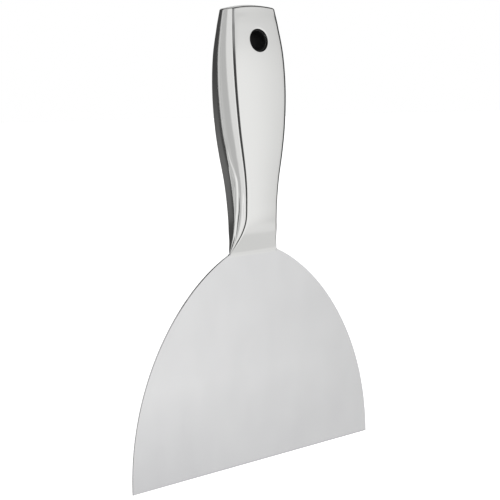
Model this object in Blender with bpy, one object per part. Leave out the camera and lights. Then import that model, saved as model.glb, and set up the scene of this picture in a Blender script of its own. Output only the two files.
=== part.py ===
"""Flexible putty knife, standing on its scraping edge.

A taper-ground stainless blade runs up into a hollow handle made of two stamped
half-shells, which meet on the blade's middle plane. A plastic sleeve lines the
hang hole through the butt. X runs across the blade, Y through its thickness
(front is -Y) and Z from the scraping edge to the butt.
"""

import math

import bmesh
import bpy

MM = 0.001

# Blade
BLADE_HALF_WIDTH = 76.2 * MM
BLADE_EDGE_THICKNESS = 0.45 * MM
BLADE_THICKNESS = 1.1 * MM
BLADE_TAPER_TOP = 92.0 * MM
SHOULDER_HEIGHT = 111.8 * MM
SHOULDER_POWER_X = 1.58
SHOULDER_POWER_Z = 2.06
NECK_BLEND = 1.4 * MM
NECK_LOW = 104.5 * MM
NECK_TOP = 113.7 * MM
TANG_HALF_WIDTH = 9.5 * MM
TANG_TOP = 168.0 * MM
TANG_CORNER = 5.0 * MM

# Handle: height, half-width on the middle plane and half-depth at its centre line
HANDLE_STATIONS = (
    (108.0 * MM, 14.8 * MM, 1.0 * MM),
    (113.0 * MM, 13.4 * MM, 3.6 * MM),
    (118.0 * MM, 12.3 * MM, 6.1 * MM),
    (124.0 * MM, 11.4 * MM, 7.8 * MM),
    (132.0 * MM, 11.5 * MM, 8.6 * MM),
    (142.0 * MM, 12.5 * MM, 9.5 * MM),
    (156.0 * MM, 14.7 * MM, 10.55 * MM),
    (172.0 * MM, 16.6 * MM, 10.85 * MM),
    (188.0 * MM, 17.5 * MM, 10.55 * MM),
    (204.0 * MM, 17.1 * MM, 9.45 * MM),
    (218.0 * MM, 15.4 * MM, 7.6 * MM),
    (224.0 * MM, 14.4 * MM, 6.6 * MM),
    (227.2 * MM, 13.8 * MM, 6.1 * MM),
)
LIP_HEIGHT = 109.5 * MM
BUTT_HEIGHT = 227.8 * MM
BUTT_ROUNDING = 1.4 * MM
BUTT_DOME = 0.6 * MM
BUTT_CROWN_RADIUS = 75.0 * MM
BUTT_CROWN_START = 200.0 * MM
EDGE_ROUNDING = 2.6 * MM
EDGE_ROUNDING_SHARE = 0.33
SIDE_SWELL = math.radians(20)
FACE_SWELL = math.radians(2.5)
WALL = 1.1 * MM
LEAST_HALF_DEPTH = 0.8 * MM
GAP = 0.3 * MM

# Hang hole
HOLE_HEIGHT = 210.6 * MM
HOLE_RADIUS = 5.8 * MM
SLEEVE_WALL = 0.8 * MM
SLEEVE_RECESS = 0.4 * MM

# Mesh density
LOFT_ROWS = 26
BUTT_ROWS = 3
CAP_ROWS = 3
SIDE_STEPS = 3
ROUNDING_STEPS = 4
FACE_STEPS = 4
SHOULDER_ROWS = 26
NECK_ROWS = 10
TANG_END_ROWS = 6
SLEEVE_SIDES = 32


def clear_scene():
    for obj in list(bpy.data.objects):
        bpy.data.objects.remove(obj)


def new_collection(name):
    collection = bpy.data.collections.new(name)
    bpy.context.scene.collection.children.link(collection)
    return collection


def material(name, colour, metallic, roughness):
    made = bpy.data.materials.new(name)
    made.use_nodes = True
    shader = made.node_tree.nodes["Principled BSDF"]
    shader.inputs["Base Color"].default_value = (*colour, 1.0)
    shader.inputs["Metallic"].default_value = metallic
    shader.inputs["Roughness"].default_value = roughness
    return made


def mesh_object(name, build, collection):
    """An object whose mesh is filled by build, which takes an empty bmesh."""
    mesh = bpy.data.meshes.new(name)
    bm = bmesh.new()
    build(bm)
    bmesh.ops.recalc_face_normals(bm, faces=bm.faces)
    bm.to_mesh(mesh)
    bm.free()
    obj = bpy.data.objects.new(name, mesh)
    collection.objects.link(obj)
    return obj


def spline_at(height, column):
    """One column of the handle stations, read as a smooth Catmull-Rom curve over height."""
    rows = HANDLE_STATIONS
    last = len(rows) - 1
    height = min(max(height, rows[0][0]), rows[last][0])
    i = max(k for k in range(last) if rows[k][0] <= height)

    def slope(k):
        low, high = rows[max(k - 1, 0)], rows[min(k + 1, last)]
        return (high[column] - low[column]) / (high[0] - low[0])

    span = rows[i + 1][0] - rows[i][0]
    t = (height - rows[i][0]) / span
    start, end = rows[i][column], rows[i + 1][column]
    return (
        (2 * t**3 - 3 * t**2 + 1) * start
        + (t**3 - 2 * t**2 + t) * span * slope(i)
        + (3 * t**2 - 2 * t**3) * end
        + (t**3 - t**2) * span * slope(i + 1)
    )


def handle_half_width(height):
    return spline_at(height, 1)


def handle_half_depth(height):
    return spline_at(height, 2)


def half_section(half_width, half_depth):
    """Points of the front half of a handle section, from its left middle to its right middle.

    A swelling side wall turns through a rounded edge into a nearly flat face.
    """
    r = min(EDGE_ROUNDING, EDGE_ROUNDING_SHARE * half_depth)
    face_drop = (half_width - r) * math.tan(FACE_SWELL / 2)
    centre_y = -(half_depth - face_drop) + r * math.cos(FACE_SWELL)
    side_reach = r * math.sin(SIDE_SWELL) - centre_y
    side_radius = side_reach / math.sin(SIDE_SWELL)
    centre_x = half_width - side_radius + (side_radius - r) * math.cos(SIDE_SWELL)
    face_radius = (centre_x + r * math.sin(FACE_SWELL)) / math.sin(FACE_SWELL)
    face_centre = centre_y - r * math.cos(FACE_SWELL) + face_radius * math.cos(FACE_SWELL)
    start = math.asin(GAP / 2 / side_radius)
    right = []
    for k in range(SIDE_STEPS):
        a = start + (SIDE_SWELL - start) * k / SIDE_STEPS
        x = half_width - side_radius + side_radius * math.cos(a)
        right.append((x, -side_radius * math.sin(a)))
    for k in range(ROUNDING_STEPS):
        a = SIDE_SWELL + (math.pi / 2 - FACE_SWELL - SIDE_SWELL) * k / ROUNDING_STEPS
        right.append((centre_x + r * math.cos(a), centre_y - r * math.sin(a)))
    for k in range(FACE_STEPS // 2):
        a = FACE_SWELL * (1 - 2 * k / FACE_STEPS)
        right.append((face_radius * math.sin(a), face_centre - face_radius * math.cos(a)))
    middle = [(0.0, face_centre - face_radius)]
    left = [(-x, y) for x, y in right]
    return left + middle + right[::-1]


def crowned(x, height):
    """How far the butt's crown lowers a point of the handle."""
    share = max(0.0, (height - BUTT_CROWN_START) / (BUTT_HEIGHT - BUTT_CROWN_START))
    return height - share**2 * x**2 / (2 * BUTT_CROWN_RADIUS)


def shell_rows(inset):
    """Half-width, half-depth, height and dome of each row, from the lip over the butt to its middle.

    The rows lie inset within the shell's outer surface. The dome is how far the row rises over the
    butt's edge at the handle's centre line.
    """
    rows = []
    shoulder = BUTT_HEIGHT - BUTT_DOME - BUTT_ROUNDING
    for k in range(LOFT_ROWS + 1):
        height = LIP_HEIGHT + (shoulder - LIP_HEIGHT) * k / LOFT_ROWS
        depth = max(handle_half_depth(height) - inset, LEAST_HALF_DEPTH)
        rows.append((handle_half_width(height) - inset, depth, height, 0.0))
    width, depth, _, _ = rows[-1]
    rounding = BUTT_ROUNDING - inset
    for k in range(1, BUTT_ROWS + 1):
        a = math.pi / 2 * k / BUTT_ROWS
        inward = rounding * (1 - math.cos(a))
        rows.append((width - inward, depth - inward, shoulder + rounding * math.sin(a), 0.0))
    width, depth, top, _ = rows[-1]
    for k in range(1, CAP_ROWS):
        out = 1 - k / CAP_ROWS
        rows.append((width, depth * out, top, BUTT_DOME * (1 - out**2)))
    return rows


def shell_rings(bm, inset):
    """The rings of one surface of the shell, each from its left seam round to its right seam."""
    rings = []
    for width, depth, height, dome in shell_rows(inset):
        ring = []
        for x, y in half_section(width, depth):
            rise = dome * (1 - (x / width) ** 2)
            ring.append(bm.verts.new((x, y, crowned(x, height) + rise)))
        if dome:
            ring[0], ring[-1] = rings[-1][0], rings[-1][-1]
        rings.append(ring)
    seam = []
    for v in rings[-1][1:-1]:
        rise = (BUTT_DOME - dome) * (1 - (v.co.x / width) ** 2)
        seam.append(bm.verts.new((v.co.x, -GAP / 2, v.co.z + rise)))
    rings.append([rings[-1][0], *seam, rings[-1][-1]])
    return rings


def build_shell(bm):
    """The stamped wall of the front half: an outer and an inner surface, joined round their edges."""
    outer = shell_rings(bm, 0.0)
    inner = shell_rings(bm, WALL)
    strips = []
    for rings in (outer, inner):
        strips += zip(rings, rings[1:])
    strips.append((outer[0], inner[0]))
    strips.append((outer[-1], inner[-1]))
    for end in (0, -1):
        strips.append(([ring[end] for ring in outer], [ring[end] for ring in inner]))
    for low, high in strips:
        for k in range(len(low) - 1):
            corners = dict.fromkeys((low[k], low[k + 1], high[k + 1], high[k]))
            if len(corners) > 2:
                bm.faces.new(corners)
    loose = [v for v in bm.verts if not v.link_faces]
    bmesh.ops.delete(bm, geom=loose, context="VERTS")


def add_boolean(obj, cutter):
    cut = obj.modifiers.new("cut_" + cutter.name, "BOOLEAN")
    cut.operation = "DIFFERENCE"
    cut.solver = "EXACT"
    cut.object = cutter


def box_cutter(name, size, centre, collection):
    def build(bm):
        bmesh.ops.create_cube(bm, size=1.0)
        bmesh.ops.scale(bm, vec=size, verts=bm.verts)
        bmesh.ops.translate(bm, vec=centre, verts=bm.verts)

    return as_cutter(mesh_object(name, build, collection))


def hole_cutter(collection):
    def build(bm):
        bmesh.ops.create_cone(
            bm, cap_ends=True, segments=SLEEVE_SIDES, radius1=HOLE_RADIUS, radius2=HOLE_RADIUS,
            depth=4 * BLADE_HALF_WIDTH,
        )

    obj = mesh_object("hole_cutter", build, collection)
    obj.rotation_euler = (math.pi / 2, 0.0, 0.0)
    obj.location = (0.0, 0.0, HOLE_HEIGHT)
    return as_cutter(obj)


def as_cutter(obj):
    obj.hide_render = True
    obj.display_type = "WIRE"
    return obj


def make_shells(parts, cutters, steel):
    """The two stamped half-shells: the front one, and the same turned round."""
    lip_room = BLADE_THICKNESS + 2 * GAP
    blade_room = box_cutter(
        "blade_room", (4 * BLADE_HALF_WIDTH, lip_room, 2 * NECK_TOP), (0.0, 0.0, GAP), cutters
    )
    hole = hole_cutter(cutters)
    for name, turn in (("front_handle_shell", 0.0), ("rear_handle_shell", math.pi)):
        shell = mesh_object(name, build_shell, parts)
        shell.rotation_euler = (0.0, 0.0, turn)
        add_boolean(shell, blade_room)
        add_boolean(shell, hole)
        shell.data.materials.append(steel)
        shade_round(shell)


def shade_round(obj):
    obj.data.shade_smooth()
    obj.data.set_sharp_from_angle(angle=math.radians(30))


def shoulder_half_width(height):
    share = min(height / SHOULDER_HEIGHT, 1.0)
    return BLADE_HALF_WIDTH * (1 - share**SHOULDER_POWER_Z) ** (1 / SHOULDER_POWER_X)


def blade_half_width(height):
    """The shoulder's curve, filleted into the neck's sides."""
    shoulder = shoulder_half_width(height)
    neck = handle_half_width(height)
    near = max(0.0, NECK_BLEND - abs(shoulder - neck))
    return max(shoulder, neck) + near**2 / (4 * NECK_BLEND)


def blade_half_thickness(height):
    share = min(height / BLADE_TAPER_TOP, 1.0)
    return (BLADE_EDGE_THICKNESS + share * (BLADE_THICKNESS - BLADE_EDGE_THICKNESS)) / 2


def blade_rows():
    """Half-width and height of each row of the blade, from its edge to the tang's end."""
    rows = []
    for k in range(SHOULDER_ROWS):
        turn = math.sin(math.pi / 2 * k / SHOULDER_ROWS)
        height = SHOULDER_HEIGHT * turn ** (2 / SHOULDER_POWER_Z)
        if height < NECK_LOW:
            rows.append((blade_half_width(height), height))
    for k in range(NECK_ROWS + 1):
        height = NECK_LOW + (NECK_TOP - NECK_LOW) * k / NECK_ROWS
        rows.append((blade_half_width(height), height))
    rows.append((TANG_HALF_WIDTH, NECK_TOP + 2 * GAP))
    rows.append((TANG_HALF_WIDTH, TANG_TOP - TANG_CORNER))
    for k in range(1, TANG_END_ROWS + 1):
        a = math.pi / 2 * k / TANG_END_ROWS
        width = TANG_HALF_WIDTH - TANG_CORNER * (1 - math.cos(a))
        rows.append((width, TANG_TOP - TANG_CORNER + TANG_CORNER * math.sin(a)))
    return rows


def build_blade(bm):
    rings = []
    for width, height in blade_rows():
        t = blade_half_thickness(height)
        corners = ((-width, -t), (width, -t), (width, t), (-width, t))
        rings.append([bm.verts.new((x, y, height)) for x, y in corners])
    for low, high in zip(rings, rings[1:]):
        for k in range(4):
            bm.faces.new((low[k], low[(k + 1) % 4], high[(k + 1) % 4], high[k]))
    bm.faces.new(rings[0])
    bm.faces.new(rings[-1])


def build_sleeve(bm):
    """A tube along Y whose ends follow the sloping faces of the handle."""
    outer = HOLE_RADIUS - GAP
    rings = []
    for radius, side in ((outer, -1), (outer, 1), (outer - SLEEVE_WALL, 1), (outer - SLEEVE_WALL, -1)):
        ring = []
        for k in range(SLEEVE_SIDES):
            a = 2 * math.pi * k / SLEEVE_SIDES
            height = HOLE_HEIGHT + radius * math.sin(a)
            depth = handle_half_depth(height) - SLEEVE_RECESS
            ring.append(bm.verts.new((radius * math.cos(a), side * depth, height)))
        rings.append(ring)
    for ring, following in zip(rings, rings[1:] + rings[:1]):
        for k in range(SLEEVE_SIDES):
            n = (k + 1) % SLEEVE_SIDES
            bm.faces.new((ring[k], ring[n], following[n], following[k]))


def main():
    clear_scene()
    parts = new_collection("flexible_putty_knife")
    cutters = new_collection("cutters")
    blade_steel = material("blade_steel", (0.62, 0.62, 0.62), 1.0, 0.34)
    handle_steel = material("handle_steel", (0.66, 0.66, 0.65), 1.0, 0.24)
    sleeve_plastic = material("sleeve_plastic", (0.015, 0.015, 0.016), 0.0, 0.45)

    blade = mesh_object("blade", build_blade, parts)
    blade.data.materials.append(blade_steel)
    make_shells(parts, cutters, handle_steel)
    sleeve = mesh_object("hang_hole_sleeve", build_sleeve, parts)
    sleeve.data.materials.append(sleeve_plastic)
    shade_round(sleeve)


main()
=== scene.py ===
"""Looks of the flexible putty knife: a satin steel blade, a hollow steel handle and a lined hang hole.

Lengths are in metres in the CAD's frame: X across the blade, Y through it with the front at -Y, Z up
from the scraping edge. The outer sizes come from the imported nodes, and the blade's outline and the
handle's sections follow the CAD's laws with finer detail.
"""

import math

import bmesh
import bpy
from mathutils import Matrix, Vector


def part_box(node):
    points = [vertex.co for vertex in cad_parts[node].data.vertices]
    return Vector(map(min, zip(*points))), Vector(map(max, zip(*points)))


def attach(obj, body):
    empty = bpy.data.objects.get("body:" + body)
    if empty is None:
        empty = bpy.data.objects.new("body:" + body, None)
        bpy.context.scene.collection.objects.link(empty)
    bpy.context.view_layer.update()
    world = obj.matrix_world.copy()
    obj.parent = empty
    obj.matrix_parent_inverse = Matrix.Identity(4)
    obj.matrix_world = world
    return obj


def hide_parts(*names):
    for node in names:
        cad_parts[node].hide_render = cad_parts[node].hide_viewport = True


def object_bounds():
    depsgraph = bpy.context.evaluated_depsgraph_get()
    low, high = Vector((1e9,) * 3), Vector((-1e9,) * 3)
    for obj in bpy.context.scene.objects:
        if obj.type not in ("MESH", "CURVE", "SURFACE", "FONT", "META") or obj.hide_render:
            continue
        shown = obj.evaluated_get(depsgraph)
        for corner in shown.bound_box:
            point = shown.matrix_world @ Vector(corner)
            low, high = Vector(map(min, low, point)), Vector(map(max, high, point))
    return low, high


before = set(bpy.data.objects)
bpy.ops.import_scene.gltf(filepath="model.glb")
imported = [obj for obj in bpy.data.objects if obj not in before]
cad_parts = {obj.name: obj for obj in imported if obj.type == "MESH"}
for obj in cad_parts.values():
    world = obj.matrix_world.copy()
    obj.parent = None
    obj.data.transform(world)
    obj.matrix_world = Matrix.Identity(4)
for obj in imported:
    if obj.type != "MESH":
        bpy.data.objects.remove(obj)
CAD_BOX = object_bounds()

MM = 0.001
BLADE_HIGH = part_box("blade")[1]
SHELL_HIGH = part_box("front_handle_shell")[1]
SLEEVE_LOW, SLEEVE_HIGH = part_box("hang_hole_sleeve")

# Blade
BLADE_HALF_WIDTH = BLADE_HIGH.x
BLADE_HALF_THICKNESS = BLADE_HIGH.y
BLADE_EDGE_HALF_THICKNESS = 0.225 * MM
BLADE_TAPER_TOP = 92.0 * MM
BLADE_EDGE_BREAK = 0.08 * MM
BLADE_MARGIN = 1.2 * MM
SHOULDER_HEIGHT = 111.8 * MM
SHOULDER_POWER_X = 1.58
SHOULDER_POWER_Z = 2.06
NECK_BLEND = 1.4 * MM
NECK_LOW = 104.5 * MM
NECK_TOP = 113.7 * MM
NECK_TUCK = 0.1 * MM
NECK_TUCK_HEIGHTS = (108.0 * MM, 110.0 * MM)
TANG_STEP = 0.6 * MM
TANG_TOP = BLADE_HIGH.z
TANG_HALF_WIDTH = 9.5 * MM
TANG_CORNER = 5.0 * MM

# Handle: height, half-width on the middle plane and half-depth at its centre line
HANDLE_STATIONS = (
    (104.5 * MM, 15.2 * MM, 0.55 * MM),
    (108.0 * MM, 14.8 * MM, 0.87 * MM),
    (113.0 * MM, 13.4 * MM, 3.6 * MM),
    (118.0 * MM, 12.3 * MM, 6.1 * MM),
    (124.0 * MM, 11.4 * MM, 7.8 * MM),
    (132.0 * MM, 11.5 * MM, 8.6 * MM),
    (142.0 * MM, 12.5 * MM, 9.5 * MM),
    (156.0 * MM, 14.7 * MM, 10.55 * MM),
    (172.0 * MM, 16.6 * MM, 10.85 * MM),
    (188.0 * MM, 17.5 * MM, 10.55 * MM),
    (204.0 * MM, 17.1 * MM, 9.45 * MM),
    (218.0 * MM, 15.4 * MM, 7.6 * MM),
    (224.0 * MM, 14.4 * MM, 6.6 * MM),
    (227.2 * MM, 13.8 * MM, 6.1 * MM),
)
LIP_HEIGHT = HANDLE_STATIONS[0][0]
BUTT_HEIGHT = SHELL_HIGH.z
BUTT_ROUNDING = 1.2 * MM
BUTT_DOME = 0.6 * MM
BUTT_CROWN_RADIUS = 75.0 * MM
BUTT_CROWN_START = 200.0 * MM
FACE_SWELL = math.radians(2.5)
LEAST_FACE_SWELL = math.radians(0.02)
FLAT_DEPTH = 4.0 * MM
WALL = 1.0 * MM
LEAST_HALF_DEPTH = 0.3 * MM
SEAM_WIDTH = 0.18 * MM
SEAM_LARGEST_SHARE = 0.1
SEAM_DEPTH = 0.14 * MM

# Handle edges and sides: values that change smoothly between the two heights given with them
EDGE_ROUNDINGS = (1.4 * MM, 2.6 * MM)
EDGE_ROUNDING_HEIGHTS = (118.0 * MM, 165.0 * MM)
EDGE_ROUNDING_SHARE = 0.33
SIDE_SWELLS = (math.radians(17), math.radians(20))
SIDE_SWELL_HEIGHTS = (128.0 * MM, 146.0 * MM)
SEAM_RIDGES = (math.radians(5), 0.0)
SEAM_RIDGE_HEIGHTS = (146.0 * MM, 168.0 * MM)
REAR_LEANS = (math.radians(4), 0.0)
REAR_LEAN_HEIGHTS = (118.0 * MM, 132.0 * MM)

# Hang hole
HOLE_HEIGHT = (SLEEVE_LOW.z + SLEEVE_HIGH.z) / 2
SLEEVE_RADIUS = SLEEVE_HIGH.x
HOLE_RADIUS = SLEEVE_RADIUS
RIM_ROUNDING = 0.2 * MM
SLEEVE_WALL = 0.8 * MM
SLEEVE_CLEARANCE = 0.02 * MM
SLEEVE_RECESS = 1.0 * MM
SLEEVE_LIP = 0.3 * MM

# The crease pressed into each side of the front shell's neck: height, distance of its bottom from
# the seam, height and width of the bead beside it towards the seam, its depth, and the rise beyond it
CREASE_STATIONS = (
    (108.0 * MM, 1.8 * MM, 0.14 * MM, 2.0 * MM, 0.00 * MM, 0.00 * MM),
    (114.5 * MM, 2.2 * MM, 0.34 * MM, 2.0 * MM, 0.04 * MM, 0.12 * MM),
    (119.3 * MM, 2.05 * MM, 0.22 * MM, 2.0 * MM, 0.14 * MM, 0.27 * MM),
    (124.2 * MM, 2.05 * MM, 0.12 * MM, 2.0 * MM, 0.25 * MM, 0.37 * MM),
    (129.0 * MM, 2.9 * MM, 0.11 * MM, 2.0 * MM, 0.24 * MM, 0.38 * MM),
    (134.0 * MM, 3.55 * MM, 0.16 * MM, 2.3 * MM, 0.18 * MM, 0.27 * MM),
    (139.0 * MM, 4.15 * MM, 0.18 * MM, 1.4 * MM, 0.12 * MM, 0.10 * MM),
    (144.0 * MM, 4.45 * MM, 0.20 * MM, 1.2 * MM, 0.10 * MM, 0.08 * MM),
    (148.8 * MM, 3.6 * MM, 0.04 * MM, 1.2 * MM, 0.16 * MM, 0.00 * MM),
    (153.6 * MM, 2.25 * MM, 0.00 * MM, 1.2 * MM, 0.18 * MM, 0.00 * MM),
    (158.5 * MM, 1.5 * MM, 0.00 * MM, 1.2 * MM, 0.14 * MM, 0.00 * MM),
    (164.0 * MM, 0.9 * MM, 0.00 * MM, 1.2 * MM, 0.00 * MM, 0.00 * MM),
)
CREASE_STEEP = 1.25 * MM
CREASE_STEEP_SHARE = 0.55
CREASE_GENTLE_SHARE = 0.56
CREASE_LARGEST_SHARE = 0.6
BEAD_START_SLOPE = 1.8
STEEP_STRAIGHT_SHARE = 0.6

# Steel. Painted shade is a share of the way to the shade colour, over the blade and near its edge at its
# left and right sides, and on the edge band and lip; random smudges take shares too. Roughness ranges over
# the noise.
BLADE_COLOUR = (0.66, 0.66, 0.662, 1.0)
# The shade colour: painted shade darkens the blade towards its edge and right side, and the handle's lip.
PAINTED_SHADE_COLOUR = (0.50, 0.50, 0.508, 1.0)
PAINTED_SHADE_ACROSS = (0.16, 0.29)
PAINTED_SHADE_NEAR_EDGE = (0.84, 0.12)
PAINTED_SHADE_HEIGHT = 48.0 * MM
# Painted shade in a narrow band along the scraping edge, and that band's height:
PAINTED_EDGE_SHADE = 0.35
PAINTED_EDGE_SHADE_HEIGHT = 1.2 * MM
SMUDGE_DULL = 0.04
HANDLE_COLOUR = (0.66, 0.66, 0.65, 1.0)
# Painted shade on the handle's lip, where it meets the blade, and the heights over which it fades:
LIP_PAINTED_SHADE = 0.22
LIP_PAINTED_SHADE_HEIGHTS = (106.0 * MM, 108.0 * MM)
WORN_COLOUR = (0.72, 0.72, 0.71, 1.0)
WORN_POINTINESS = (0.53, 0.6)
WORN_HEIGHTS = (112.0 * MM, 122.0 * MM)
BLADE_ROUGHNESS = (0.19, 0.23)
HANDLE_ROUGHNESS = (0.09, 0.12)
GRAIN_ROUGHNESS = (-0.015, 0.015)
GRAIN_DEPTH = 0.0004 * MM

# Plastic
PLASTIC_COLOURS = ((0.02, 0.02, 0.021, 1.0), (0.03, 0.03, 0.031, 1.0))
PLASTIC_ROUGHNESS = (0.5, 0.65)
PLASTIC_SPECULAR = 0.2
MOULD_DEPTH = 0.01 * MM

# Textures: fineness in features per metre along X, Y and Z, and the part of the noise's range in use
BLADE_GRAIN = (2500.0, 2500.0, 60.0)
HANDLE_GRAIN = (3000.0, 3000.0, 120.0)
GRAIN_DETAIL = 3.0
SMUDGE_FINENESS = (60.0, 60.0, 35.0)
SMUDGE_DETAIL = 2.0
MOULD_FINENESS = (1500.0, 1500.0, 1500.0)
MOULD_DETAIL = 2.0
NOISE_RANGE = (0.3, 0.7)

# Studio: a glowing floor and a white dome round it, which the camera sees and the steel doesn't
STAGE_RADIUS = 6.0
FLOOR_DROP = 0.2 * MM
FLOOR_SIDES = 96
FLOOR_COLOUR = (0.85, 0.85, 0.85, 1.0)
FLOOR_ROUGHNESS = 0.9
FLOOR_GLOW = 0.95
DOME_SEGMENTS = 48
DOME_RINGS = 24
WHITE = (1.0, 1.0, 1.0, 1.0)

# The panels that the steel reflects: azimuth and elevation of the centre, half-size and softness in
# degrees, brightness, and lean. Azimuth 0 is straight in front of the knife and 90 is to its right.
SKY_LEVEL = 0.075
SKY_PATCHES = (
    ((18.0, -20.0), (40.0, 68.0), (8.0, 30.0), 0.81, 0.0),
    ((70.0, -47.0), (12.0, 18.0), (8.0, 14.0), 0.81, 0.0),
    ((62.0, -42.0), (16.0, 13.0), (10.0, 8.0), 0.03, 0.0),
    ((7.0, -29.0), (36.0, 44.0), (18.0, 22.0), 0.32, 0.0),
    ((52.0, -33.0), (7.0, 7.0), (8.0, 8.0), 0.11, 0.0),
    ((-48.0, 38.0), (34.0, 18.0), (14.0, 22.0), 0.40, 0.0),
    ((-98.5, -8.0), (20.5, 62.0), (2.0, 20.0), 0.98, 0.3),
    ((-88.0, -10.0), (6.0, 40.0), (10.0, 20.0), 0.20, 0.0),
    ((-135.0, -8.0), (16.0, 62.0), (2.0, 20.0), 0.60, 0.3),
    ((-144.5, -8.0), (7.0, 62.0), (3.0, 20.0), 0.08, 0.3),
    ((-147.5, -8.0), (4.0, 62.0), (3.0, 20.0), 0.08, 0.3),
    ((-180.0, -24.0), (22.0, 20.0), (10.0, 16.0), 0.11, 0.0),
    ((145.0, 5.0), (20.0, 60.0), (8.0, 30.0), 0.60, 0.0),
)

# Camera, to the knife's left front and level with the upper handle; its lens and sensor in millimetres
CAMERA_PLACE = Vector((-363.1, -450.7, 190.7)) * MM
CAMERA_TARGET = Vector((-2.18, -0.33, 108.57)) * MM
CAMERA_ROLL = math.radians(-1.445)
CAMERA_LENS = 84.7
CAMERA_SENSOR = 36.0

# Mesh density
MERGE_DISTANCE = 0.002 * MM
SHARP_ANGLE = math.radians(35)
SHOULDER_ROWS = 90
NECK_EDGE_ROWS = 30
TANG_CORNER_ROWS = 8
SIDE_STEPS = (9, 12, 8, 6)
ROUNDING_STEPS = 9
FACE_STEPS = 12
CELL = 1.1 * MM
HOLE_BLOCK = 4
HOLE_REACH = 11
NECK_ROWS = 22
NECK_ROWS_TOP = 113.0 * MM
BUTT_SIDE_ROWS = 4
BUTT_ROWS = 9
CAP_ROWS = 8
RIM_STEPS = 6
SLEEVE_SIDES = 64
SLEEVE_LIP_STEPS = 5


def smoothstep(t):
    t = min(max(t, 0.0), 1.0)
    return t * t * (3 - 2 * t)


def rise_between(heights, height):
    """0 below the first height, 1 above the second and a smooth rise between them."""
    return smoothstep((height - heights[0]) / (heights[1] - heights[0]))


def between(values, heights, height):
    """The first value below the first height, the second above the second, changing smoothly between."""
    return values[0] + (values[1] - values[0]) * rise_between(heights, height)


# ---------------------------------------------------------------- shape laws


def spline_at(rows, height, column):
    """One column of a table of stations, read as a smooth curve over height."""
    last = len(rows) - 1
    height = min(max(height, rows[0][0]), rows[last][0])
    i = max(k for k in range(last) if rows[k][0] <= height)

    def slope(k):
        if k == 0:
            return 0.0
        low, high = rows[k - 1], rows[min(k + 1, last)]
        return (high[column] - low[column]) / (high[0] - low[0])

    span = rows[i + 1][0] - rows[i][0]
    t = (height - rows[i][0]) / span
    start, end = rows[i][column], rows[i + 1][column]
    return (
        (2 * t**3 - 3 * t**2 + 1) * start
        + (t**3 - 2 * t**2 + t) * span * slope(i)
        + (3 * t**2 - 2 * t**3) * end
        + (t**3 - t**2) * span * slope(i + 1)
    )


def handle_half_width(height):
    return spline_at(HANDLE_STATIONS, height, 1)


def handle_half_depth(height):
    return spline_at(HANDLE_STATIONS, height, 2)


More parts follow.
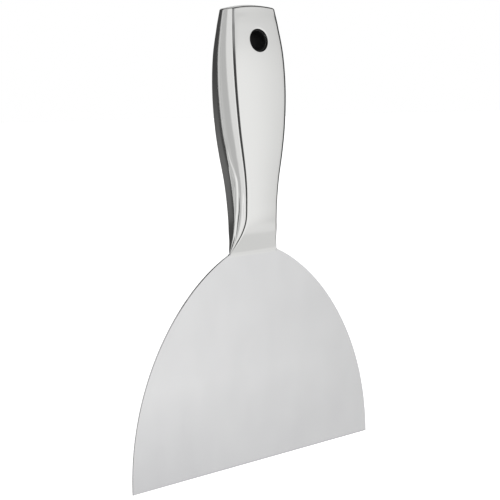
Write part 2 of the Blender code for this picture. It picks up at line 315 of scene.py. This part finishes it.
class Section:
    """The front half of a handle section: a swelling side, a rounded edge and a nearly flat face."""

    def __init__(self, half_width, half_depth, height, creased=True):
        self.half_width = half_width
        self.height = height
        self.creased = creased
        self.ridge = between(SEAM_RIDGES, SEAM_RIDGE_HEIGHTS, height)
        if not creased:
            self.ridge += between(REAR_LEANS, REAR_LEAN_HEIGHTS, height)
        self.side_swell = side = between(SIDE_SWELLS, SIDE_SWELL_HEIGHTS, height)
        fullness = smoothstep((half_depth - BLADE_HALF_THICKNESS) / FLAT_DEPTH)
        self.face_swell = face = max(FACE_SWELL * fullness, LEAST_FACE_SWELL)
        rounding = between(EDGE_ROUNDINGS, EDGE_ROUNDING_HEIGHTS, height)
        self.r = r = min(rounding, EDGE_ROUNDING_SHARE * half_depth)

        face_drop = (half_width - r) * math.tan(face / 2)
        self.centre_y = -(half_depth - face_drop) + r * math.cos(face)
        side_reach = r * math.sin(side) - self.centre_y
        self.side_radius = side_reach / (math.sin(side) - math.sin(self.ridge))
        side_drop = self.side_radius * (math.cos(self.ridge) - math.cos(side))
        self.centre_x = half_width - side_drop - r * math.cos(side)
        self.face_radius = (self.centre_x + r * math.sin(face)) / math.sin(face)
        rounding_low = self.centre_y - r * math.cos(face)
        self.face_centre = rounding_low + self.face_radius * math.cos(face)

        self.length = self.side_radius * (side - self.ridge)
        largest_crease = CREASE_LARGEST_SHARE * self.length
        self.crease = min(spline_at(CREASE_STATIONS, height, 1), largest_crease)
        self.crest = self.crease - min(CREASE_STEEP, CREASE_STEEP_SHARE * self.crease)
        self.brow = self.crease + CREASE_GENTLE_SHARE * (self.length - self.crease)

    def face_y(self, x):
        return self.face_centre - math.sqrt(self.face_radius**2 - x**2)

    def side_distances(self):
        """Distances from the seam of the side's points, gathered about the crease."""
        seam = min(SEAM_WIDTH, SEAM_LARGEST_SHARE * self.crest)
        marks = (seam, self.crest, self.crease, self.brow, self.length)
        distances = []
        for low, high, steps in zip(marks, marks[1:], SIDE_STEPS):
            distances += [low + (high - low) * k / steps for k in range(steps)]
        return distances

    def crease_relief(self, distance):
        """How far the crease raises the side, or sinks it below zero, at this distance from the seam."""
        columns = (2, 3, 4, 5)
        bead, bead_width, depth, rise = (spline_at(CREASE_STATIONS, self.height, k) for k in columns)
        if distance < self.crest:
            t = max(0.0, 1 - (self.crest - distance) / min(bead_width, self.crest))
            return bead * (BEAD_START_SLOPE * t - (BEAD_START_SLOPE - 1) * t**2)
        if distance < self.crease:
            t = (distance - self.crest) / (self.crease - self.crest)
            eased = STEEP_STRAIGHT_SHARE * t + (1 - STEEP_STRAIGHT_SHARE) * smoothstep(t)
            return bead - (bead + depth) * eased
        if distance < self.brow:
            t = (distance - self.crease) / (self.brow - self.crease)
            return (depth + rise) * (1 - (1 - t) ** 2) - depth
        return rise * smoothstep((self.length - distance) / (self.length - self.brow))

    def points(self):
        """From the left seam round to the right seam."""
        right = [(self.half_width - SEAM_DEPTH, 0.0)]
        for distance in self.side_distances():
            a = self.ridge + distance / self.side_radius
            x = self.half_width - self.side_radius * (math.cos(self.ridge) - math.cos(a))
            y = -self.side_radius * (math.sin(a) - math.sin(self.ridge))
            raised = self.crease_relief(distance) if self.creased else 0.0
            right.append((x + raised * math.cos(a), y - raised * math.sin(a)))
        turn = math.pi / 2 - self.face_swell - self.side_swell
        for k in range(ROUNDING_STEPS):
            a = self.side_swell + turn * k / ROUNDING_STEPS
            right.append((self.centre_x + self.r * math.cos(a), self.centre_y - self.r * math.sin(a)))
        for k in range(FACE_STEPS):
            a = self.face_swell * (1 - k / FACE_STEPS)
            x = self.face_radius * math.sin(a)
            right.append((x, self.face_y(x)))
        middle = [(0.0, self.face_y(0.0))]
        left = [(-x, y) for x, y in right]
        return left + middle + right[::-1]


def crowned(x, height):
    """How far the butt's crown lowers a point of the handle."""
    share = max(0.0, (height - BUTT_CROWN_START) / (BUTT_HEIGHT - BUTT_CROWN_START))
    return height - share**2 * x**2 / (2 * BUTT_CROWN_RADIUS)


def face_y(x, height, inset=0.0):
    width, depth = handle_half_width(height), handle_half_depth(height)
    return Section(width - inset, depth - inset, height).face_y(x)


def blade_half_width(height):
    """The shoulder's curve, filleted into the neck's sides."""
    share = min(height / SHOULDER_HEIGHT, 1.0)
    shoulder = BLADE_HALF_WIDTH * (1 - share**SHOULDER_POWER_Z) ** (1 / SHOULDER_POWER_X)
    neck = handle_half_width(max(height, HANDLE_STATIONS[1][0]))
    near = max(0.0, NECK_BLEND - abs(shoulder - neck))
    return max(shoulder, neck) + near**2 / (4 * NECK_BLEND)


def blade_half_thickness(height):
    share = min(height / BLADE_TAPER_TOP, 1.0)
    return BLADE_EDGE_HALF_THICKNESS + share * (BLADE_HALF_THICKNESS - BLADE_EDGE_HALF_THICKNESS)


# ---------------------------------------------------------------- mesh helpers


def mesh_piece(name, points, faces, material):
    mesh = bpy.data.meshes.new(name)
    mesh.from_pydata(points, [], faces)
    bm = bmesh.new()
    bm.from_mesh(mesh)
    bmesh.ops.remove_doubles(bm, verts=bm.verts, dist=MERGE_DISTANCE)
    bmesh.ops.recalc_face_normals(bm, faces=bm.faces)
    bm.to_mesh(mesh)
    bm.free()
    mesh.materials.append(material)
    mesh.shade_smooth()
    mesh.set_sharp_from_angle(angle=SHARP_ANGLE)
    obj = bpy.data.objects.new(name, mesh)
    bpy.context.scene.collection.objects.link(obj)
    return obj


def add_points(points, more):
    """Adds points to a list and returns their numbers in it."""
    start = len(points)
    points += more
    return list(range(start, len(points)))


def strip_faces(low, high):
    """Quads between two rows of point numbers."""
    return [(low[k], low[k + 1], high[k + 1], high[k]) for k in range(len(low) - 1)]


def ring_faces(low, high):
    """Quads between two closed rings of point numbers."""
    return strip_faces(low + low[:1], high + high[:1])


# ---------------------------------------------------------------- handle shells


def row_heights():
    """The heights of the rows below the butt's rounding, and which of them is level with the hole."""
    heights = [LIP_HEIGHT + (NECK_ROWS_TOP - LIP_HEIGHT) * k / NECK_ROWS for k in range(NECK_ROWS)]
    hole_low = HOLE_HEIGHT - HOLE_REACH * CELL
    count = round((hole_low - NECK_ROWS_TOP) / CELL)
    heights += [NECK_ROWS_TOP + (hole_low - NECK_ROWS_TOP) * k / count for k in range(count)]
    hole_row = len(heights) + HOLE_REACH
    heights += [hole_low + CELL * k for k in range(2 * HOLE_REACH + 1)]
    last, shoulder = heights[-1], BUTT_HEIGHT - BUTT_DOME - BUTT_ROUNDING
    heights += [last + (shoulder - last) * k / BUTT_SIDE_ROWS for k in range(1, BUTT_SIDE_ROWS + 1)]
    return heights, hole_row


def handle_rows(heights, inset):
    """Half-width, half-depth, height and dome of each row, from the lip over the butt to the seam."""
    rows = []
    for height in heights:
        depth = max(handle_half_depth(height) - inset, min(LEAST_HALF_DEPTH, handle_half_depth(height)))
        rows.append((handle_half_width(height) - inset, depth, height, 0.0))
    width, depth, shoulder, _ = rows[-1]
    rounding = BUTT_ROUNDING - inset
    for k in range(1, BUTT_ROWS + 1):
        a = math.pi / 2 * k / BUTT_ROWS
        inward = rounding * (1 - math.cos(a))
        rows.append((width - inward, depth - inward, shoulder + rounding * math.sin(a), 0.0))
    width, depth, top, _ = rows[-1]
    for k in range(1, CAP_ROWS):
        out = 1 - k / CAP_ROWS
        rows.append((width, depth * out, top, BUTT_DOME * (1 - out**2)))
    return rows


def shell_grid(heights, hole_row, inset, creased):
    """Rows of points over one surface of the front shell, inset within its outside."""
    grid = []
    for width, depth, height, dome in handle_rows(heights, inset):
        ring = []
        for x, y in Section(width, depth, height, creased).points():
            rise = dome * (1 - (x / width) ** 2)
            ring.append(Vector((x, y, crowned(x, height) + rise)))
        if dome:
            ring[0], ring[-1] = grid[-1][0].copy(), grid[-1][-1].copy()
        grid.append(ring)
    rises = [(BUTT_DOME - dome) * (1 - (p.x / width) ** 2) for p in grid[-1]]
    above = [Vector((p.x, -SEAM_WIDTH, p.z + rise)) for p, rise in zip(grid[-1], rises)]
    above[0], above[-1] = grid[-1][0].copy(), grid[-1][-1].copy()
    top = [Vector((p.x, 0.0, p.z - SEAM_DEPTH)) for p in above]
    top[0].z = top[-1].z = above[0].z
    grid += [above, top]
    round_the_hole(grid, hole_row, inset)
    return grid


def round_the_hole(grid, hole_row, inset):
    """Spreads the square mesh cells about the hang hole into circles round it."""
    middle = len(grid[0]) // 2
    inner = HOLE_RADIUS if inset else HOLE_RADIUS + RIM_ROUNDING
    for dj in range(-HOLE_REACH, HOLE_REACH + 1):
        for di in range(-HOLE_REACH, HOLE_REACH + 1):
            ring = max(abs(di), abs(dj))
            if ring < HOLE_BLOCK:
                continue
            point = grid[hole_row + dj][middle + di]
            away = math.atan2(point.z - HOLE_HEIGHT, point.x)
            radius = inner + (ring - HOLE_BLOCK) * CELL
            t = smoothstep((ring - HOLE_BLOCK) / (HOLE_REACH - HOLE_BLOCK))
            x = (1 - t) * radius * math.cos(away) + t * point.x
            z = (1 - t) * (HOLE_HEIGHT + radius * math.sin(away)) + t * point.z
            grid[hole_row + dj][middle + di] = Vector((x, face_y(x, z, inset), z))


def hole_loop(hole_row, middle):
    """The mesh cells' corners on the hole's edge, in order round it."""
    n = HOLE_BLOCK
    loop = [(-n + k, -n) for k in range(2 * n)] + [(n, -n + k) for k in range(2 * n)]
    loop += [(n - k, n) for k in range(2 * n)] + [(-n, n - k) for k in range(2 * n)]
    return [(hole_row + dj, middle + di) for di, dj in loop]


def grid_faces(indices, hole_row):
    """Quads over a grid of point numbers, leaving out the block of cells in the hole."""
    middle = len(indices[0]) // 2

    def in_hole(j, i):
        lower = max(abs(j - hole_row), abs(i - middle)) <= HOLE_BLOCK
        upper = max(abs(j + 1 - hole_row), abs(i + 1 - middle)) <= HOLE_BLOCK
        return lower and upper

    faces = []
    for j in range(len(indices) - 1):
        quads = strip_faces(indices[j], indices[j + 1])
        faces += [quad for i, quad in enumerate(quads) if not in_hole(j, i)]
    return faces


def rim_rings(points, grid, loop):
    """Adds rings of points that roll the hole's edge inwards, and returns their point numbers."""
    rings = []
    for k in range(1, RIM_STEPS + 1):
        a = math.pi / 2 * k / RIM_STEPS
        radius = HOLE_RADIUS + RIM_ROUNDING * (1 - math.sin(a))
        sunk = RIM_ROUNDING * (1 - math.cos(a))
        ring = []
        for j, i in loop:
            edge = grid[j][i]
            away = math.atan2(edge.z - HOLE_HEIGHT, edge.x)
            x, z = radius * math.cos(away), HOLE_HEIGHT + radius * math.sin(away)
            ring.append(Vector((x, edge.y + sunk, z)))
        rings.append(add_points(points, ring))
    return rings


def handle_half(name, turn, creased, material):
    """One half-shell: its outside, its inside, the seam and lip edges between them and the hole's rim."""
    heights, hole_row = row_heights()
    points, surfaces = [], []
    for inset in (0.0, WALL):
        grid = shell_grid(heights, hole_row, inset, creased)
        surfaces.append((grid, [add_points(points, row) for row in grid]))
    (outer_grid, outer), (_, inner) = surfaces

    faces = grid_faces(outer, hole_row) + grid_faces(inner, hole_row)
    faces += strip_faces(outer[0], inner[0]) + strip_faces(outer[-1], inner[-1])
    for end in (0, -1):
        faces += strip_faces([row[end] for row in outer], [row[end] for row in inner])

    loop = hole_loop(hole_row, len(outer[0]) // 2)
    rings = [[outer[j][i] for j, i in loop]]
    rings += rim_rings(points, outer_grid, loop)
    rings.append([inner[j][i] for j, i in loop])
    for ring, following in zip(rings, rings[1:]):
        faces += ring_faces(ring, following)

    turned = Matrix.Rotation(turn, 4, "Z")
    return mesh_piece(name, [turned @ p for p in points], faces, material)


# ---------------------------------------------------------------- blade


def blade_rows():
    """Half-width and height of each row of the blade, from its edge to the tang's end."""
    rows = []
    for k in range(SHOULDER_ROWS):
        turn = math.sin(math.pi / 2 * k / SHOULDER_ROWS)
        height = SHOULDER_HEIGHT * turn ** (2 / SHOULDER_POWER_Z)
        if height < NECK_LOW:
            rows.append((blade_half_width(height), height))
    for k in range(NECK_EDGE_ROWS + 1):
        height = NECK_LOW + (NECK_TOP - NECK_LOW) * k / NECK_EDGE_ROWS
        tuck = NECK_TUCK * rise_between(NECK_TUCK_HEIGHTS, height)
        rows.append((blade_half_width(height) - tuck, height))
    rows.append((TANG_HALF_WIDTH, NECK_TOP + TANG_STEP))
    corner_low = TANG_TOP - TANG_CORNER
    rows.append((TANG_HALF_WIDTH, corner_low))
    for k in range(1, TANG_CORNER_ROWS + 1):
        a = math.pi / 2 * k / TANG_CORNER_ROWS
        width = TANG_HALF_WIDTH - TANG_CORNER * (1 - math.cos(a))
        rows.append((width, corner_low + TANG_CORNER * math.sin(a)))
    return rows


def blade_section(width, height):
    """Points round the sheet at this height: its edges are broken, with a line of points inside each."""
    t = blade_half_thickness(height)
    b = min(BLADE_EDGE_BREAK, t / 3)
    margin = min(BLADE_MARGIN, width / 2)
    across = (-width + b, -width + margin, width - margin, width - b)
    front = [(x, -t) for x in across] + [(width, -t + b)]
    back = [(-x, -y) for x, y in front]
    return front + [(width, t - b)] + back[:-1] + [(-width, t - b), (-width, -t + b)]


def make_blade(material):
    points, rings, faces = [], [], []
    for width, height in blade_rows():
        section = blade_section(width, height)
        rings.append(add_points(points, [(x, y, height) for x, y in section]))
    for low, high in zip(rings, rings[1:]):
        faces += ring_faces(low, high)
    faces += [tuple(rings[0]), tuple(rings[-1])]
    return mesh_piece("blade_sheet", points, faces, material)


# ---------------------------------------------------------------- sleeve


def sleeve_profile():
    """The sleeve's rounded lip from its outside to its bore: radius, and depth below the handle's face."""
    outer, bore = SLEEVE_RADIUS - SLEEVE_CLEARANCE, SLEEVE_RADIUS - SLEEVE_WALL
    turns = [math.pi / 2 * k / SLEEVE_LIP_STEPS for k in range(SLEEVE_LIP_STEPS + 1)]
    profile = []
    for a in turns:
        sunk = SLEEVE_LIP * (1 - math.sin(a))
        profile.append((outer - SLEEVE_LIP * (1 - math.cos(a)), SLEEVE_RECESS + sunk))
    for a in turns:
        sunk = SLEEVE_LIP * (1 - math.cos(a))
        profile.append((bore + SLEEVE_LIP * (1 - math.sin(a)), SLEEVE_RECESS + sunk))
    return profile


def make_sleeve(material):
    """The black tube in the hang hole, its rounded lips following the handle's sloping faces."""
    profile = sleeve_profile()
    points, rings, faces = [], [], []
    for side, order in ((-1, profile), (1, profile[::-1])):
        for radius, depth in order:
            ring = []
            for k in range(SLEEVE_SIDES):
                a = 2 * math.pi * k / SLEEVE_SIDES
                x, z = radius * math.cos(a), HOLE_HEIGHT + radius * math.sin(a)
                ring.append((x, side * (-face_y(x, z) - depth), z))
            rings.append(add_points(points, ring))
    for ring, following in zip(rings, rings[1:] + rings[:1]):
        faces += ring_faces(ring, following)
    return mesh_piece("hang_hole_lining", points, faces, material)


# ---------------------------------------------------------------- materials


class Nodes:
    """A node tree, with short ways to add nodes to it."""

    def __init__(self, tree):
        self.tree = tree

    def put(self, socket, value):
        """Sets a socket to a value, or links another node's output to it."""
        if isinstance(value, bpy.types.NodeSocket):
            self.tree.links.new(value, socket)
        else:
            socket.default_value = value

    def add(self, kind, inputs=None, **settings):
        """A new node with these settings and inputs."""
        node = self.tree.nodes.new(kind)
        for name, value in settings.items():
            setattr(node, name, value)
        for key, value in (inputs or {}).items():
            self.put(node.inputs[key], value)
        return node

    def math(self, operation, *values):
        node = self.add("ShaderNodeMath", dict(enumerate(values)), operation=operation)
        return node.outputs[0]

    def split(self, vector):
        """The X, Y and Z of a vector."""
        return self.add("ShaderNodeSeparateXYZ", {0: vector}).outputs

    def spread(self, value, source, target, interpolation="LINEAR"):
        """Maps a value from one range to another, held at the ends."""
        inputs = {"Value": value}
        inputs["From Min"], inputs["From Max"] = source
        inputs["To Min"], inputs["To Max"] = target
        node = self.add("ShaderNodeMapRange", inputs, interpolation_type=interpolation)
        return node.outputs["Result"]


class Surface(Nodes):
    """A Principled material with procedural textures in the piece's own coordinates."""

    def __init__(self, name):
        self.material = bpy.data.materials.new(name)
        self.material.use_nodes = True
        super().__init__(self.material.node_tree)
        self.shader = self.tree.nodes["Principled BSDF"]
        self.place = self.add("ShaderNodeTexCoord").outputs["Object"]

    def shade(self, name, value):
        """Sets or links one of the shader's own inputs."""
        self.put(self.shader.inputs[name], value)

    def noise(self, fineness, detail):
        """Noise from 0 to 1 with its own fineness along X, Y and Z."""
        scaled = self.add("ShaderNodeMapping", {"Vector": self.place, "Scale": fineness})
        inputs = {"Vector": scaled.outputs["Vector"], "Scale": 1.0, "Detail": detail}
        return self.add("ShaderNodeTexNoise", inputs).outputs["Fac"]

    def tint(self, share, first, second):
        """A colour between two colours."""
        inputs = {"Factor": share, "A": first, "B": second}
        return self.add("ShaderNodeMix", inputs, data_type="RGBA").outputs["Result"]

    def bump(self, height, distance):
        node = self.add("ShaderNodeBump", {"Height": height, "Distance": distance, "Strength": 1.0})
        self.shade("Normal", node.outputs["Normal"])

    def wear(self):
        """1 on the worn convex edges and 0 elsewhere."""
        pointiness = self.add("ShaderNodeNewGeometry").outputs["Pointiness"]
        return self.spread(pointiness, WORN_POINTINESS, (0.0, 1.0))


def satin_steel(name, grain, roughness):
    """Satin stainless steel with a lengthwise grain: the surface and the noise of its soft smudges."""
    steel = Surface(name)
    lines = steel.noise(grain, GRAIN_DETAIL)
    smudges = steel.noise(SMUDGE_FINENESS, SMUDGE_DETAIL)
    finish = steel.spread(smudges, NOISE_RANGE, roughness)
    streaks = steel.spread(lines, NOISE_RANGE, GRAIN_ROUGHNESS)
    steel.shade("Metallic", 1.0)
    steel.shade("Roughness", steel.math("ADD", finish, streaks))
    steel.bump(lines, GRAIN_DEPTH)
    return steel, smudges


def make_blade_steel():
    """Steel with painted shade: darker to the right, and towards the scraping edge, most on the left and
    along the edge.
    """
    steel, smudges = satin_steel("blade_steel", BLADE_GRAIN, BLADE_ROUGHNESS)
    across, _, height = steel.split(steel.place)
    sides = (-BLADE_HALF_WIDTH, BLADE_HALF_WIDTH)
    # Painted shade: darker towards the scraping edge, most near the edge on the left, and darker over the
    # right side.
    low = steel.spread(height, (0.0, PAINTED_SHADE_HEIGHT), (1.0, 0.0))
    shade_near_edge = steel.math("MULTIPLY", low, steel.spread(across, sides, PAINTED_SHADE_NEAR_EDGE))
    # Painted shade: a narrow band along the scraping edge is darker.
    edge_shade = steel.spread(height, (0.0, PAINTED_EDGE_SHADE_HEIGHT), (PAINTED_EDGE_SHADE, 0.0))
    patchy = steel.spread(smudges, NOISE_RANGE, (-SMUDGE_DULL, SMUDGE_DULL))
    painted_shade = steel.spread(across, sides, PAINTED_SHADE_ACROSS)
    for more in (shade_near_edge, edge_shade, patchy):
        painted_shade = steel.math("ADD", painted_shade, more)
    steel.shade("Base Color", steel.tint(painted_shade, BLADE_COLOUR, PAINTED_SHADE_COLOUR))
    return steel.material


def make_handle_steel():
    """Steel that is brighter on the handle's worn edges, with painted shade at the lip, where it meets the
    blade.
    """
    steel, _ = satin_steel("handle_steel", HANDLE_GRAIN, HANDLE_ROUGHNESS)
    height = steel.split(steel.place)["Z"]
    worn = steel.math("MULTIPLY", steel.wear(), steel.spread(height, WORN_HEIGHTS, (0.0, 1.0)))
    colour = steel.tint(worn, HANDLE_COLOUR, WORN_COLOUR)
    # Painted shade at the lip, where the handle meets the blade's painted shade.
    lip = steel.spread(height, LIP_PAINTED_SHADE_HEIGHTS, (LIP_PAINTED_SHADE, 0.0))
    steel.shade("Base Color", steel.tint(lip, colour, PAINTED_SHADE_COLOUR))
    return steel.material


def make_plastic():
    """Black plastic with a fine moulded texture."""
    plastic = Surface("black_plastic")
    texture = plastic.noise(MOULD_FINENESS, MOULD_DETAIL)
    plastic.shade("Base Color", plastic.tint(texture, *PLASTIC_COLOURS))
    plastic.shade("Roughness", plastic.spread(texture, NOISE_RANGE, PLASTIC_ROUGHNESS))
    plastic.shade("Specular IOR Level", PLASTIC_SPECULAR)
    plastic.bump(texture, MOULD_DEPTH)
    return plastic.material


# ---------------------------------------------------------------- studio


def stage_piece(name, bm, height, material, unseen_by):
    """A floor or backdrop at this height, unseen by these kinds of ray."""
    mesh = bpy.data.meshes.new(name)
    bm.to_mesh(mesh)
    bm.free()
    mesh.materials.append(material)
    piece = bpy.data.objects.new(name, mesh)
    piece.location.z = height
    for ray in unseen_by:
        setattr(piece, "visible_" + ray, False)
    bpy.context.scene.collection.objects.link(piece)


def make_stage():
    pale = bpy.data.materials.new("pale_floor")
    pale.use_nodes = True
    shader = pale.node_tree.nodes["Principled BSDF"]
    shader.inputs["Base Color"].default_value = FLOOR_COLOUR
    shader.inputs["Roughness"].default_value = FLOOR_ROUGHNESS
    shader.inputs["Emission Color"].default_value = WHITE
    shader.inputs["Emission Strength"].default_value = FLOOR_GLOW
    bm = bmesh.new()
    bmesh.ops.create_circle(bm, cap_ends=True, segments=FLOOR_SIDES, radius=STAGE_RADIUS)
    stage_piece("floor", bm, CAD_BOX[0].z - FLOOR_DROP, pale, ("glossy", "diffuse"))

    white = bpy.data.materials.new("white_backdrop")
    white.use_nodes = True
    white.node_tree.nodes.clear()
    nodes = Nodes(white.node_tree)
    glow = nodes.add("ShaderNodeEmission", {"Color": WHITE, "Strength": 1.0})
    nodes.add("ShaderNodeOutputMaterial", {"Surface": glow.outputs[0]})
    bm = bmesh.new()
    bmesh.ops.create_uvsphere(bm, u_segments=DOME_SEGMENTS, v_segments=DOME_RINGS, radius=STAGE_RADIUS)
    unseen_by = ("glossy", "diffuse", "transmission", "shadow", "volume_scatter")
    stage_piece("backdrop", bm, 0.0, white, unseen_by)


class Sky(Nodes):
    """The studio's surroundings, as the object reflects them: soft-edged panels by direction."""

    def __init__(self, tree):
        super().__init__(tree)
        tree.nodes.clear()
        x, y, z = self.split(self.add("ShaderNodeTexCoord").outputs["Generated"])
        self.azimuth = self.math("ARCTAN2", x, self.math("MULTIPLY", y, -1.0))
        self.elevation = self.math("ARCSINE", z)

    def window(self, distance, half, soft):
        """1 within half degrees, falling smoothly to 0 over soft degrees centred there."""
        fall = (math.radians(half + soft / 2), math.radians(half - soft / 2))
        return self.spread(self.math("ABSOLUTE", distance), fall, (0.0, 1.0), "SMOOTHSTEP")

    def patch(self, place, half, soft, lean):
        """A panel centred on this azimuth and elevation in degrees, leaning with elevation."""
        turned = self.math("MULTIPLY_ADD", self.elevation, lean, self.azimuth)
        turned = self.math("SUBTRACT", turned, math.radians(place[0]))
        turned = self.math("WRAP", turned, -math.pi, math.pi)
        raised = self.math("SUBTRACT", self.elevation, math.radians(place[1]))
        across = self.window(turned, half[0], soft[0])
        return self.math("MULTIPLY", across, self.window(raised, half[1], soft[1]))


def make_sky():
    world = bpy.data.worlds.new("studio")
    bpy.context.scene.world = world
    world.use_nodes = True
    sky = Sky(world.node_tree)
    total = SKY_LEVEL
    for place, half, soft, level, lean in SKY_PATCHES:
        panel = sky.math("MULTIPLY", sky.patch(place, half, soft, lean), level)
        total = sky.math("ADD", total, panel)
    background = sky.add("ShaderNodeBackground", {"Color": WHITE, "Strength": total})
    sky.add("ShaderNodeOutputWorld", {"Surface": background.outputs[0]})


def make_camera():
    camera = bpy.data.objects.new("camera", bpy.data.cameras.new("camera"))
    camera.data.sensor_width = CAMERA_SENSOR
    camera.data.lens = CAMERA_LENS
    look = (CAMERA_TARGET - CAMERA_PLACE).to_track_quat("-Z", "Y").to_matrix().to_4x4()
    place, roll = Matrix.Translation(CAMERA_PLACE), Matrix.Rotation(CAMERA_ROLL, 4, "Z")
    camera.matrix_world = place @ look @ roll
    bpy.context.scene.collection.objects.link(camera)
    bpy.context.scene.camera = camera


def main():
    bpy.context.scene.view_settings.view_transform = "Standard"
    make_camera()
    make_stage()
    make_sky()
    blade = make_blade(make_blade_steel())
    handle_steel = make_handle_steel()
    front = handle_half("front_shell", 0.0, True, handle_steel)
    rear = handle_half("rear_shell", math.pi, False, handle_steel)
    pieces = (
        (blade, "blade", "blade_steel"),
        (front, "front_handle_shell", "handle_steel"),
        (rear, "rear_handle_shell", "handle_steel"),
        (make_sleeve(make_plastic()), "hang_hole_sleeve", "sleeve_plastic"),
    )
    for piece, node, slot in pieces:
        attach(piece, "root")
        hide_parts(node)


main()
